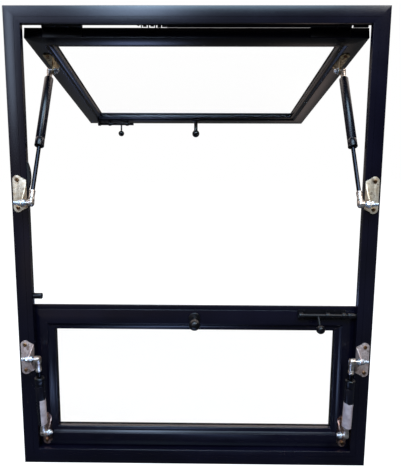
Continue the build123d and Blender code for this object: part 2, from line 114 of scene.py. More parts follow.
def startEdit(piece, kind):
    # into edit mode with nothing selected, for edges or faces
    selectOnly(piece)
    bpy.ops.object.mode_set(mode="EDIT")
    bpy.ops.mesh.select_mode(type=kind)
    bpy.ops.mesh.select_all(action="DESELECT")


def editEdges(piece, wanted):
    # into edit mode with the wanted edges selected; wanted is given an edge's two ends
    startEdit(piece, "EDGE")
    leaveEdit()
    points = [vertex.co for vertex in piece.data.vertices]
    for edge in piece.data.edges:
        edge.select = wanted(*(points[i] for i in edge.vertices))
    bpy.ops.object.mode_set(mode="EDIT")


def editFaces(piece, wanted):
    # into edit mode with the wanted faces selected; wanted is given a face
    startEdit(piece, "FACE")
    leaveEdit()
    for face in piece.data.polygons:
        face.select = wanted(face)
    bpy.ops.object.mode_set(mode="EDIT")


def sharpEdges(piece, angle=30):
    # the pairs of end points of the edges that turn more than the angle
    startEdit(piece, "EDGE")
    bpy.ops.mesh.edges_select_sharp(sharpness=math.radians(angle))
    leaveEdit()
    return {tuple(edge.vertices) for edge in piece.data.edges if edge.select}


def bevelSharp(piece, width, segments, skip=None):
    # rounds a piece's sharp edges, apart from those that skip names by their two ends
    sharp = sharpEdges(piece)
    startEdit(piece, "EDGE")
    leaveEdit()
    points = [vertex.co for vertex in piece.data.vertices]
    for edge in piece.data.edges:
        ends = [points[i] for i in edge.vertices]
        edge.select = tuple(edge.vertices) in sharp and not (skip and skip(*ends))
    bpy.ops.object.mode_set(mode="EDIT")
    bpy.ops.mesh.bevel(offset=width, segments=segments, affect="EDGES", clamp_overlap=True)
    leaveEdit()


def copyNode(name, newName):
    # a copy of a CAD node's mesh, merged and with its flat faces whole again
    look = {"merge": 0.005 * mm, "flat": 0.6}
    piece = bpy.data.objects.new(newName, nodes[name].data.copy())
    bpy.context.scene.collection.objects.link(piece)
    editAll(piece)
    bpy.ops.mesh.remove_doubles(threshold=look["merge"])
    bpy.ops.mesh.dissolve_limited(angle_limit=math.radians(look["flat"]))
    bpy.ops.mesh.customdata_custom_splitnormals_clear()
    leaveEdit()
    return piece


def finishPiece(piece, name, material, replaced=()):
    smoothUnder = 32  # degrees
    piece.name = name
    piece.data.materials.clear()
    piece.data.materials.append(material)
    selectOnly(piece)
    bpy.ops.object.shade_smooth_by_angle(angle=math.radians(smoothUnder))
    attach(piece, "root")
    if replaced:
        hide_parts(*replaced)


def joinAll(pieces):
    # the pieces as one object, the first of them
    deselectAll()
    for piece in pieces:
        piece.select_set(True)
    bpy.context.view_layer.objects.active = pieces[0]
    bpy.ops.object.join()
    return bpy.context.object


def placeCopies(master, matrices):
    # the master copied to each place, all as one object; the master goes
    copies = []
    for matrix in matrices:
        selectOnly(master)
        bpy.ops.object.duplicate()
        copy = bpy.context.object
        copy.matrix_world = matrix
        applyPlace()
        copies.append(copy)
    selectOnly(master)
    bpy.ops.object.delete()
    return joinAll(copies)


def standing(point, way, roll=0.0):
    # the place of something modelled along Z that stands at a point, pointing a way
    turn = Vector(way).to_track_quat("Z", "Y").to_matrix().to_4x4()
    return Matrix.Translation(Vector(point) * mm) @ turn @ Matrix.Rotation(math.radians(roll), 4, "Z")


# Materials. Pattern sizes are in metres, on the object's own coordinates.

def powderCoatedAluminium():
    # semi-gloss black polyester powder, sprayed and baked: a fine orange peel and soft broad reflections
    look = {
        "low": "#050410", "high": "#0a0919", "patch": 0.16, "peel": 0.0016, "peelDepth": 0.00002,
        "smooth": 0.2, "rough": 0.3, "specular": 0.4,
    }
    material, tree, shader, place = newMaterial("powder_coated_aluminium")
    patches = addNode(tree, "ShaderNodeTexNoise", {
        "Vector": place, "Scale": 1 / look["patch"], "Detail": 3.0,
    })
    tint = addNode(tree, "ShaderNodeValToRGB", {"Fac": patches.outputs["Fac"]})
    setRamp(tint.color_ramp, [(0.35, hexColour(look["low"])), (0.65, hexColour(look["high"]))])
    gloss = addNode(tree, "ShaderNodeMapRange", {
        "Value": patches.outputs["Fac"], "To Min": look["smooth"], "To Max": look["rough"],
    })
    peel = addNode(tree, "ShaderNodeTexNoise", {"Vector": place, "Scale": 1 / look["peel"], "Detail": 1.0})
    bump = addNode(tree, "ShaderNodeBump", {"Height": peel.outputs["Fac"], "Distance": look["peelDepth"]})
    tree.links.new(tint.outputs["Color"], shader.inputs["Base Color"])
    tree.links.new(gloss.outputs["Result"], shader.inputs["Roughness"])
    tree.links.new(bump.outputs["Normal"], shader.inputs["Normal"])
    shader.inputs["Specular IOR Level"].default_value = look["specular"]
    return material


def blackEnamelledSteel():
    # stoved black enamel on pressed steel: soft dull highlights, uneven where hands and screws rub it
    look = {
        "low": "#050508", "high": "#0c0c11", "patch": 0.02, "smooth": 0.22, "rough": 0.38, "specular": 0.3,
    }
    material, tree, shader, place = newMaterial("black_enamelled_steel")
    patches = addNode(tree, "ShaderNodeTexNoise", {
        "Vector": place, "Scale": 1 / look["patch"], "Detail": 4.0,
    })
    tint = addNode(tree, "ShaderNodeValToRGB", {"Fac": patches.outputs["Fac"]})
    setRamp(tint.color_ramp, [(0.3, hexColour(look["low"])), (0.7, hexColour(look["high"]))])
    gloss = addNode(tree, "ShaderNodeMapRange", {
        "Value": patches.outputs["Fac"], "To Min": look["smooth"], "To Max": look["rough"],
    })
    tree.links.new(tint.outputs["Color"], shader.inputs["Base Color"])
    tree.links.new(gloss.outputs["Result"], shader.inputs["Roughness"])
    shader.inputs["Specular IOR Level"].default_value = look["specular"]
    return material


def epdmRubber():
    # extruded EPDM: dead matt, and a little greyer than the bars beside it
    look = {"low": "#0a090a", "high": "#141314", "grain": 0.004, "roughness": 0.8}
    material, tree, shader, place = newMaterial("epdm_rubber")
    grain = addNode(tree, "ShaderNodeTexNoise", {"Vector": place, "Scale": 1 / look["grain"], "Detail": 2.0})
    tint = addNode(tree, "ShaderNodeValToRGB", {"Fac": grain.outputs["Fac"]})
    setRamp(tint.color_ramp, [(0.3, hexColour(look["low"])), (0.7, hexColour(look["high"]))])
    tree.links.new(tint.outputs["Color"], shader.inputs["Base Color"])
    shader.inputs["Roughness"].default_value = look["roughness"]
    return material


def floatGlass():
    # clear soda-lime float glass, wiped clean: colourless, and its IOR is brought down from 1.52
    # until the slanted pane is as clear as the photograph shows it
    look = {"haze": 0.25, "film": 0.008, "ior": 1.035, "specular": 0.3}
    material, tree, shader, place = newMaterial("float_glass")
    haze = addNode(tree, "ShaderNodeTexNoise", {"Vector": place, "Scale": 1 / look["haze"], "Detail": 2.0})
    film = addNode(tree, "ShaderNodeMapRange", {
        "Value": haze.outputs["Fac"], "To Min": 0.0, "To Max": look["film"],
    })
    tree.links.new(film.outputs["Result"], shader.inputs["Roughness"])
    shader.inputs["Base Color"].default_value = (1.0, 1.0, 1.0, 1.0)
    shader.inputs["Transmission Weight"].default_value = 1.0
    shader.inputs["IOR"].default_value = look["ior"]
    shader.inputs["Specular IOR Level"].default_value = look["specular"]
    return material


def zincPlate(name, dull, bright, blush, roughness, metal=1.0):
    # electroplated zinc with a passivation film: cloudy metal with a faint shift of hue, and spangles drawn
    # coarser than real ones so that they show
    look = {"cloud": 0.012, "spangle": 0.003, "smoother": 0.08, "rougher": 0.1, "relief": 0.00005}
    material, tree, shader, place = newMaterial(name)
    cloud = addNode(tree, "ShaderNodeTexNoise", {"Vector": place, "Scale": 1 / look["cloud"], "Detail": 4.0})
    tint = addNode(tree, "ShaderNodeValToRGB", {"Fac": cloud.outputs["Fac"]})
    stops = [(0.34, hexColour(dull)), (0.46, hexColour(bright)), (0.62, hexColour(blush))]
    setRamp(tint.color_ramp, stops)
    spangle = addNode(tree, "ShaderNodeTexNoise", {
        "Vector": place, "Scale": 1 / look["spangle"], "Detail": 2.0,
    })
    gloss = addNode(tree, "ShaderNodeMapRange", {
        "Value": spangle.outputs["Fac"],
        "To Min": roughness - look["smoother"], "To Max": roughness + look["rougher"],
    })
    bump = addNode(tree, "ShaderNodeBump", {"Height": spangle.outputs["Fac"], "Distance": look["relief"]})
    tree.links.new(tint.outputs["Color"], shader.inputs["Base Color"])
    tree.links.new(gloss.outputs["Result"], shader.inputs["Roughness"])
    tree.links.new(bump.outputs["Normal"], shader.inputs["Normal"])
    shader.inputs["Metallic"].default_value = metal
    return material


def smoothCoat(name, look):
    # one even colour, with a gloss that varies a little from the way the coat flowed or the part was wiped
    material, tree, shader, place = newMaterial(name)
    flow = addNode(tree, "ShaderNodeTexNoise", {
        "Vector": place, "Scale": 1 / look["flow"], "Detail": look["detail"],
    })
    gloss = addNode(tree, "ShaderNodeMapRange", {
        "Value": flow.outputs["Fac"], "To Min": look["smooth"], "To Max": look["rough"],
    })
    tree.links.new(gloss.outputs["Result"], shader.inputs["Roughness"])
    shader.inputs["Base Color"].default_value = hexColour(look["colour"])
    shader.inputs["Specular IOR Level"].default_value = look["specular"]
    shader.inputs["Metallic"].default_value = look["metal"]
    return material


def glossPaint():
    # sprayed gloss paint on a drawn tube: tight highlights along it
    return smoothCoat("gloss_black_paint", {
        "colour": "#090913", "flow": 0.012, "detail": 1.0, "smooth": 0.22, "rough": 0.3, "specular": 0.34,
        "metal": 0.0,
    })


def nitridedRod():
    # salt-bath nitrided and polished rod: a dark metal with a bright side light
    return smoothCoat("nitrided_steel_rod", {
        "colour": "#1d1e23", "flow": 0.02, "detail": 2.0, "smooth": 0.1, "rough": 0.2, "specular": 0.5,
        "metal": 1.0,
    })


def glossPhenolic():
    # moulded and buffed black phenolic, on the knobs and the strut glands: round soft highlights
    return smoothCoat("black_phenolic", {
        "colour": "#060609", "flow": 0.01, "detail": 1.0, "smooth": 0.24, "rough": 0.34, "specular": 0.36,
        "metal": 0.0,
    })


def paperLabel():
    # a coated paper band stuck round the tube, left bare: pale, faintly pink, handled and a little creased
    look = {
        "soiled": "#a09094", "handled": "#c2b4b8", "clean": "#d2c6c9", "roughness": 0.5,
        "soil": 0.014, "crease": 0.006, "creaseDepth": 0.0004,
    }
    material, tree, shader, place = newMaterial("coated_paper")
    soil = addNode(tree, "ShaderNodeTexNoise", {"Vector": place, "Scale": 1 / look["soil"], "Detail": 4.0})
    tint = addNode(tree, "ShaderNodeValToRGB", {"Fac": soil.outputs["Fac"]})
    setRamp(tint.color_ramp, [
        (0.3, hexColour(look["soiled"])), (0.55, hexColour(look["handled"])), (0.8, hexColour(look["clean"])),
    ])
    crease = addNode(tree, "ShaderNodeTexNoise", {
        "Vector": place, "Scale": 1 / look["crease"], "Detail": 2.0,
    })
    bump = addNode(tree, "ShaderNodeBump", {
        "Height": crease.outputs["Fac"], "Distance": look["creaseDepth"],
    })
    tree.links.new(tint.outputs["Color"], shader.inputs["Base Color"])
    tree.links.new(bump.outputs["Normal"], shader.inputs["Normal"])
    shader.inputs["Roughness"].default_value = look["roughness"]
    return material


powder = powderCoatedAluminium()
enamel = blackEnamelledSteel()
rubber = epdmRubber()
glass = floatGlass()
creamZinc = zincPlate("zinc_cream_passivated", "#aa937a", "#f2e1c8", "#cfb798", 0.46, 0.7)
roseCreamZinc = zincPlate("zinc_rosy_cream_passivated", "#a48d82", "#eedad4", "#cbb0a8", 0.46, 0.7)
yellowZinc = zincPlate("zinc_yellow_chromate", "#43341f", "#dccca4", "#7f6440", 0.3)
roseZinc = zincPlate("zinc_rosy_chromate", "#46302b", "#e0c0b6", "#845d54", 0.3)
brownZinc = zincPlate("zinc_browned_screws", "#2c1d13", "#b08c66", "#6a4a34", 0.32)
socketZinc = zincPlate("zinc_plated_sockets", "#6f655e", "#dad2c9", "#a39186", 0.3, 0.9)
brightZinc = zincPlate("zinc_bright_plated", "#a3acb6", "#e3e8ee", "#ccd3db", 0.26, 0.85)
paint = glossPaint()
rodSteel = nitridedRod()
phenolic = glossPhenolic()
paper = paperLabel()
print("materials made")

# the first entry whose word is in a node's name gives the node its finish
finishes = [
    ("glazing_seals", rubber), ("frame_seal", rubber), ("buffer", rubber), ("glass", glass),
    ("strut_tubes", paint), ("strut_rods", rodSteel), ("strut_sockets", socketZinc),
    ("ball_studs", brightZinc), ("lower_frame_brackets", roseCreamZinc), ("lower_sash_brackets", roseZinc),
    ("frame_brackets", creamZinc), ("sash_brackets", yellowZinc), ("hinge_rail", powder), ("hinge_", enamel),
    ("knobs", phenolic), ("bolt", enamel), ("", powder),
]


def finishOf(name):
    return next(material for word, material in finishes if word in name)


for name, node in nodes.items():
    node.data.materials.clear()
    node.data.materials.append(finishOf(name))
print("finishes given to the frame's nodes")


# Places on the window, in millimetres

window = {
    "halfWidth": 450.0, "height": 1150.0, "sashHalfWidth": 420.0, "upperSash": 682.5, "lowerSash": 382.0,
    "strip": 12.0, "opening": 79.0,
}
# the struts' ball joints: their places across the window, on the frame, and on each sash
balls = {
    "across": 392, "frameOut": -52.5, "upperFrame": 694, "lowerFrame": 302, "upperReach": 112,
    "lowerReach": 60, "sashOut": -33,
}


def sashDirections(upper):
    # the sash's corner at the hinge, the way along it from the hinge, and the way out of the building
    look = {"axisOut": 28.0, "knuckle": 4.5, "face": -3.5, "pin": 30.5}
    turn = math.radians(window["opening"] if upper else 0.0)
    rise = -1 if upper else 1
    along = Vector((0, math.sin(turn), rise * math.cos(turn)))
    outward = Vector((0, math.cos(turn), -rise * math.sin(turn)))
    height = window["height"] - look["pin"] if upper else look["pin"]
    pin = Vector((0, look["face"] + look["axisOut"], height))
    return pin + along * look["knuckle"] - outward * look["axisOut"], along, outward


def onSash(upper, across, reach, out):
    corner, along, outward = sashDirections(upper)
    return corner + along * reach + outward * out + Vector((across, 0, 0))


def meetingEdge(upper):
    # how far the sash reaches from its corner, the lower one with the strip along its top
    return window["upperSash"] if upper else window["lowerSash"] + window["strip"]


def frameBall(upper, side):
    height = balls["upperFrame"] if upper else balls["lowerFrame"]
    return Vector((side * balls["across"], balls["frameOut"], height))


def sashBall(upper, side):
    reach = balls["upperReach"] if upper else balls["lowerReach"]
    return onSash(upper, side * balls["across"], reach, balls["sashOut"])


def strutAxis(upper, side):
    # the sash ball and the direction from it to the frame ball
    ball = sashBall(upper, side)
    return ball, (frameBall(upper, side) - ball).normalized()


# Bars and pressed parts with their edges broken, each in place of its node

def between(value, limits):
    # limits are in millimetres
    return limits[0] * mm < value < limits[1] * mm


def roundBars():
    look = {"edge": 0.8 * mm, "segments": 3, "inner": 3.2 * mm, "innerSegments": 6, "shortest": 0.2}
    # the groove and the hollows of the bars, as how far they lie in from the rim and where they lie in depth
    frameParts = {
        "groove": (24.0, 26.3), "grooveFront": -20, "hollow": (1.5, 24.5),
        "lip": (25.5, 38.0), "lipDepth": (-21.5, -6.5),
    }
    sashParts = {"hollow": (1.5, 38.5), "depth": (1.5, 24.5), "innerEdge": 39.5, "frontDepth": 0.5}

    def shortEdge(a, b):
        return (a - b).length < look["shortest"]

    def frameHidden(a, b):
        # the groove and the inside of the hollow frame bars keep their edges
        if shortEdge(a, b):
            return True
        half = window["halfWidth"] * mm
        top = window["height"] * mm
        inset = min(half - abs(a.x), a.z, top - a.z, half - abs(b.x), b.z, top - b.z)
        groove = between(inset, frameParts["groove"]) and a.y < frameParts["grooveFront"] * mm
        lipHollow = between(inset, frameParts["lip"]) and between(a.y, frameParts["lipDepth"])
        return groove or between(inset, frameParts["hollow"]) or lipHollow

    for name in ("frame_head", "frame_sill", "frame_left_jamb", "frame_right_jamb"):
        piece = copyNode(name, name + "_bar")
        bevelSharp(piece, look["edge"], look["segments"], frameHidden)
        finishPiece(piece, name + "_bar", powder, [name])

    for upper, name, height in (
        (True, "upper_sash", window["upperSash"] * mm), (False, "lower_sash", window["lowerSash"] * mm),
    ):
        corner, along, outward = sashDirections(upper)

        def placeOf(a, b):
            # how far an edge lies in from the sash's rim and back from its face
            insets = []
            depths = []
            for point in (a, b):
                offset = point - corner * mm
                reach = offset.dot(along)
                insets.append(min(window["sashHalfWidth"] * mm - abs(point.x), reach, height - reach))
                depths.append(offset.dot(outward))
            return min(insets), min(depths)

        def sashHidden(a, b):
            inset, depth = placeOf(a, b)
            inside = between(inset, sashParts["hollow"]) and between(depth, sashParts["depth"])
            return shortEdge(a, b) or inside

        def notInner(a, b):
            inset, depth = placeOf(a, b)
            outer = inset < sashParts["innerEdge"] * mm or depth > sashParts["frontDepth"] * mm
            return shortEdge(a, b) or outer

        for bar in ("hinge_rail", "meeting_rail", "left_stile", "right_stile"):
            node = name + "_" + bar
            piece = copyNode(node, node + "_bar")
            bevelSharp(piece, look["inner"], look["innerSegments"], notInner)
            bevelSharp(piece, look["edge"], look["segments"], sashHidden)
            finishPiece(piece, node + "_bar", powder, [node])
    piece = copyNode("lower_meeting_strip", "meeting_strip_bar")
    bevelSharp(piece, look["edge"], look["segments"], shortEdge)
    finishPiece(piece, "meeting_strip_bar", powder, ["lower_meeting_strip"])
    print("bars rounded")


def steppedBeads():
    # each bead has a chamfered foot beside the sash bar, a flat front and a broken edge beside the glass,
    # small on the upper sash and well rounded on the lower one; points are in from the bar and back from
    # the face
    look = {"inset": 40.0, "mitreGap": 0.3, "merge": 0.01 * mm}
    foot = ((0, 0.5), (0.3, 0.55), (0.9, 0.9), (4.2, 4.4), (5.0, 4.8), (12.0, 5.1))
    smallTop = ((14.9, 5.3), (15.2, 5.4), (15.4, 5.6), (15.5, 6.0))
    roundTop = ((13.6, 5.4), (14.8, 6.4), (15.3, 7.6), (15.5, 9.0))
    for upper, name, height, top in (
        (True, "upper_sash", window["upperSash"], smallTop),
        (False, "lower_sash", window["lowerSash"], roundTop),
    ):
        profile = (*foot, *top, (15.5, 16.0), (0, 16.0), (0, 0.5))
        wide = 2 * window["sashHalfWidth"] - 2 * look["inset"]
        high = height - 2 * look["inset"]
        deselectAll()
        bpy.ops.mesh.primitive_plane_add(size=1, location=(0, 0, profile[0][1] * mm))
        ring = bpy.context.object
        ring.scale = (wide * mm, high * mm, 1)
        applyPlace()
        bpy.ops.object.mode_set(mode="EDIT")
        bpy.ops.mesh.select_mode(type="EDGE")
        bpy.ops.mesh.select_all(action="SELECT")
        bpy.ops.mesh.delete(type="ONLY_FACE")
        bpy.ops.mesh.select_all(action="SELECT")
        for (before, low), (after, deep) in zip(profile, profile[1:]):
            bpy.ops.mesh.extrude_region_move(TRANSFORM_OT_translate={"value": (0, 0, (deep - low) * mm)})
            bpy.ops.transform.resize(
                value=((wide - 2 * after) / (wide - 2 * before), (high - 2 * after) / (high - 2 * before), 1),
                center_override=(0, 0, 0),
            )
        bpy.ops.mesh.select_all(action="SELECT")
        bpy.ops.mesh.remove_doubles(threshold=look["merge"])
        leaveEdit()
        # parted at the mitres, with a hairline between the bars
        editEdges(ring, lambda a, b: a.x * b.x > 0 and a.y * b.y > 0)
        bpy.ops.mesh.edge_split(type="EDGE")
        leaveEdit()
        level = {i for face in ring.data.polygons if abs(face.center.x) < mm for i in face.vertices}
        for vertex in ring.data.vertices:
            axis = 0 if vertex.index in level else 1
            vertex.co[axis] -= math.copysign(look["mitreGap"] * mm, vertex.co[axis])
        editAll(ring)
        bpy.ops.mesh.fill_holes(sides=0)
        faceOutward()
        corner, along, outward = sashDirections(upper)
        turn = Matrix((along.cross(outward), along, outward)).transposed().to_4x4()
        ring.matrix_world = Matrix.Translation((corner + along * height / 2) * mm) @ turn
        applyPlace()
        node = name + "_glazing_beads"
        finishPiece(ring, node + "_stepped", powder, [node])


def roundHardware():
    # a node, how much its edges are rounded in millimetres, its finish and its slot
    look = [
        ("upper_frame_brackets", 0.45, creamZinc, "zinc_cream"),
        ("lower_frame_brackets", 0.45, roseCreamZinc, "zinc_cream"),
        ("upper_sash_brackets", 0.45, yellowZinc, "zinc_yellow"),
        ("lower_sash_brackets", 0.45, roseZinc, "zinc_yellow"),
        ("upper_hinge_frame_leaves", 0.3, enamel, "hardware_black"),
        ("lower_hinge_frame_leaves", 0.3, enamel, "hardware_black"),
        ("upper_hinge_sash_leaves", 0.3, enamel, "hardware_black"),
        ("lower_hinge_sash_leaves", 0.3, enamel, "hardware_black"),
        ("upper_bolt", 0.4, enamel, "hardware_black"), ("lower_bolt", 0.4, enamel, "hardware_black"),
        ("bolt_keepers", 0.5, enamel, "hardware_black"),
    ]
    for node, width, material, slot in look:
        piece = copyNode(node, node + "_pressed")
        bevelSharp(piece, width * mm, 2)
        finishPiece(piece, node + "_pressed", material, [node])
    print("hardware rounded")


roundBars()
steppedBeads()
roundHardware()


# Fasteners

def turnedPiece(profile, sides=48):
    # a disc on Z drawn out through each (radius, height) in millimetres, closed at both ends
    first, start = profile[0]
    deselectAll()
    bpy.ops.mesh.primitive_circle_add(
        vertices=sides, radius=first * mm, fill_type="NGON", location=(0, 0, start * mm),
    )
    piece = bpy.context.object
    applyPlace()
    editAll(piece)
    for (before, low), (after, high) in zip(profile, profile[1:]):
        bpy.ops.mesh.extrude_region_move(TRANSFORM_OT_translate={"value": (0, 0, (high - low) * mm)})
        bpy.ops.transform.resize(value=(after / before, after / before, 1))
    faceOutward()
    return piece


def uprightCylinder(sides, radius, height, **more):
    # a cylinder on Z that stands on the origin
    deselectAll()
    bpy.ops.mesh.primitive_cylinder_add(
        vertices=sides, radius=radius, depth=height, location=(0, 0, height / 2), **more,
    )
    applyPlace()
    return bpy.context.object


def panScrew(radius, height):
    # a pan head with a cross recess, modelled upright on the origin
    look = {"sides": 28, "dome": 0.6, "recessLong": 1.1, "recessWide": 0.3, "recessDeep": 0.55}
    screw = uprightCylinder(look["sides"], radius, height)
    editEdges(screw, lambda a, b: min(a.z, b.z) > height * 0.99)
    bpy.ops.mesh.bevel(offset=height * look["dome"], segments=4, affect="EDGES")
    leaveEdit()
    for turn in (0, 90):
        deselectAll()
        bpy.ops.mesh.primitive_cube_add(size=1, location=(0, 0, height))
        cutter = bpy.context.object
        cutter.scale = (
            radius * look["recessLong"], radius * look["recessWide"], height * 2 * look["recessDeep"],
        )
        cutter.rotation_euler = (0, 0, math.radians(turn))
        applyPlace()
        selectOnly(screw)
        cut = screw.modifiers.new("recess", "BOOLEAN")
        cut.operation = "DIFFERENCE"
        cut.object = cutter
        bpy.ops.object.modifier_apply(modifier=cut.name)
        selectOnly(cutter)
        bpy.ops.object.delete()
    return screw


def bracketScrews():
    # two screws in the ears of each of the eight brackets
    look = {
        "radius": 4.8 * mm, "height": 2.8 * mm, "turn": 37,
        "frameAcross": 434, "frameFace": -25.0, "frameHeights": (680, 748, 328.5, 260.5),
        "sashAcross": 394, "sashFace": -2.5, "upperReaches": (92, 160), "lowerReaches": (19, 87),
    }
    onFrame = []
    onSashes = []
    for side in (-1, 1):
        for height in look["frameHeights"]:
            onFrame.append(((side * look["frameAcross"], look["frameFace"], height), (0, -1, 0)))
        for upper, reaches in ((True, look["upperReaches"]), (False, look["lowerReaches"])):
            room = -sashDirections(upper)[2]
            for reach in reaches:
                onSashes.append((onSash(upper, side * look["sashAcross"], reach, look["sashFace"]), room))
    for name, places in (("frame_bracket_screws", onFrame), ("sash_bracket_screws", onSashes)):
        screw = panScrew(look["radius"], look["height"])
        piece = placeCopies(screw, [
            standing(point, way, look["turn"] * i) for i, (point, way) in enumerate(places)
        ])
        finishPiece(piece, name, brownZinc)


def boltScrews():
    # black screws in the two bolt plates
    look = {
        "radius": 3.0 * mm, "height": 1.8 * mm, "turn": 53, "plateEnd": 387, "steps": (27.5, 106),
        "fromEdge": 22, "rows": (-9.5, 9.5), "face": -1.5,
    }
    places = []
    for upper, way in ((True, 1), (False, -1)):
        room = -sashDirections(upper)[2]
        for step in look["steps"]:
            for row in look["rows"]:
                reach = meetingEdge(upper) - look["fromEdge"] + row
                places.append((onSash(upper, way * (step - look["plateEnd"]), reach, look["face"]), room))
    screw = panScrew(look["radius"], look["height"])
    piece = placeCopies(screw, [
        standing(point, way, look["turn"] * i) for i, (point, way) in enumerate(places)
    ])
    finishPiece(piece, "bolt_screws", enamel)


def washerRing():
    # a flat ring round Z, from the origin up, with its rims broken
    look = {"outer": 8.4 * mm, "inner": 4.2 * mm, "thickness": 1.4 * mm, "sides": 36, "edge": 0.25 * mm}
    ring = uprightCylinder(look["sides"], look["outer"], look["thickness"])
    editFaces(ring, lambda face: abs(face.normal.z) > 0.9)
    flat = look["outer"] * math.cos(math.pi / look["sides"])
    bpy.ops.mesh.inset(thickness=flat - look["inner"])
    bpy.ops.mesh.bridge_edge_loops()
    faceOutward()
    bevelSharp(ring, look["edge"], 2)
    return ring


def hexNut():
    # an M8 nut with its corners turned off and a shallow face
    look = {
        "flats": 13.3 * mm, "height": 6.5 * mm, "corner": 0.9 * mm, "faceIn": 0.28, "faceEdge": 0.2 * mm,
    }
    outer = look["flats"] / 2 / math.cos(math.pi / 6)
    nut = uprightCylinder(6, outer, look["height"])
    editAll(nut)
    bpy.ops.mesh.bevel(offset=look["corner"], segments=2, affect="VERTICES")
    leaveEdit()
    editFaces(nut, lambda face: abs(face.normal.z) > 0.9)
    bpy.ops.mesh.inset(thickness=outer * look["faceIn"])
    bpy.ops.mesh.bevel(offset=look["faceEdge"], segments=1, affect="EDGES")
    leaveEdit()
    return nut


def threadedTail(length):
    # the stud's thread beyond the nut: a fine row of crests
    look = {"core": 4.02 * mm, "crest": 4.3 * mm, "pitch": 1.25 * mm, "sides": 20}
    tall = length * mm
    turns = max(3, round(tall / look["pitch"]))
    tail = uprightCylinder(look["sides"], look["core"], tall)
    editEdges(tail, lambda a, b: abs(a.z - b.z) > 0.5 * tall)
    bpy.ops.mesh.subdivide(number_cuts=2 * turns - 1)
    leaveEdit()
    step = tall / (2 * turns)
    editEdges(tail, lambda a, b: abs(a.z - b.z) < 1e-6 and round(a.z / step) % 2 == 1)
    wider = look["crest"] / look["core"]
    bpy.ops.transform.resize(value=(wider, wider, 1))
    leaveEdit()
    return tail


def studFittings():
    # nuts, washers and threads at the eight ball studs, at their distances from the window's middle
    look = {
        "bracketBack": 412, "bracketFront": 414.5, "frameTail": 421, "frameTailLength": 12,
        "plate": 380, "sashTail": 373.5, "sashTailLength": 4.5,
    }
    nuts = []
    washers = []
    longTails = []
    shortTails = []
    for side in (-1, 1):
        out = (side, 0, 0)
        back = (-side, 0, 0)
        for upper in (True, False):
            ball = frameBall(upper, side)
            inner = (side * look["bracketBack"], ball.y, ball.z)
            outer = (side * look["bracketFront"], ball.y, ball.z)
            nuts += [standing(inner, back, 11), standing(outer, out, 24)]
            washers += [standing(inner, back), standing(outer, out)]
            longTails.append(standing((side * look["frameTail"], ball.y, ball.z), out))
        for upper in (True, False):
            ball = sashBall(upper, side)
            plate = (side * look["plate"], ball.y, ball.z)
            nuts.append(standing(plate, back, 17))
            washers.append(standing(plate, back))
            shortTails.append(standing((side * look["sashTail"], ball.y, ball.z), back))
    longTail = threadedTail(look["frameTailLength"])
    shortTail = threadedTail(look["sashTailLength"])
    finishPiece(placeCopies(hexNut(), nuts), "stud_nuts", brightZinc)
    finishPiece(placeCopies(washerRing(), washers), "stud_washers", brightZinc)
    finishPiece(placeCopies(longTail, longTails), "frame_stud_threads", brightZinc)
    finishPiece(placeCopies(shortTail, shortTails), "sash_stud_threads", brightZinc)


bracketScrews()
boltScrews()
studFittings()
print("fasteners made")


# Strut details

def strutTubes():
    # each tube with its rounded closed end, the rolled ring, and the moulded gland where the rod comes out
    look = {"radius": 11.5, "start": 24.0, "lengths": (208.0, 134.0), "ring": 22.0, "gland": 11.8}
    r = look["radius"]
    g = look["gland"]
    for upper, name, length in zip((True, False), ("upper", "lower"), look["lengths"]):
        ring = length - look["ring"]
        tube = turnedPiece([
            (r - 4, 0), (r - 2.6, 0.1), (r - 1.2, 0.7), (r - 0.4, 1.6), (r, 2.8),
            (r, ring - 2.2), (r - 0.5, ring - 1.4), (r - 0.8, ring - 0.6), (r - 0.8, ring + 0.6),
            (r - 0.5, ring + 1.4), (r, ring + 2.2), (r, length - 1.2), (r - 0.5, length - 0.4),
            (r - 1.2, length),
        ], 56)
        places = []
        for side in (-1, 1):
            ball, way = strutAxis(upper, side)
            places.append(standing(ball + way * look["start"], way))
        tubes = placeCopies(tube, places)
        finishPiece(tubes, name + "_tubes", paint, [name + "_strut_tubes"])
        gland = turnedPiece([
            (8.0, length - 5), (g - 0.5, length - 5), (g, length - 4.4), (g, length - 0.6),
            (g - 0.5, length), (g - 2.2, length + 0.9), (7.2, length + 1.4), (6.2, length + 1.4),
            (5.3, length + 0.6),
        ], 44)
        finishPiece(placeCopies(gland, places), name + "_strut_glands", phenolic)


def rodEnds():
    # the plated ferrule that locks each rod into its socket
    look = {"from": 23.0, "length": 10.0, "radius": 7.0, "inner": 5.2}
    r, length, inner = look["radius"], look["length"], look["inner"]
    places = []
    for side in (-1, 1):
        for upper in (True, False):
            way = strutAxis(upper, side)[1]
            places.append(standing(frameBall(upper, side) - way * look["from"], -way))
    ferrule = turnedPiece([
        (inner, 0), (r - 0.6, 0), (r, 0.6), (r, 3.2), (r - 0.5, 3.7), (r - 0.5, 4.3),
        (r, 4.8), (r, length - 1), (r - 1, length), (inner, length),
    ], 40)
    finishPiece(placeCopies(ferrule, places), "rod_ferrules", socketZinc)


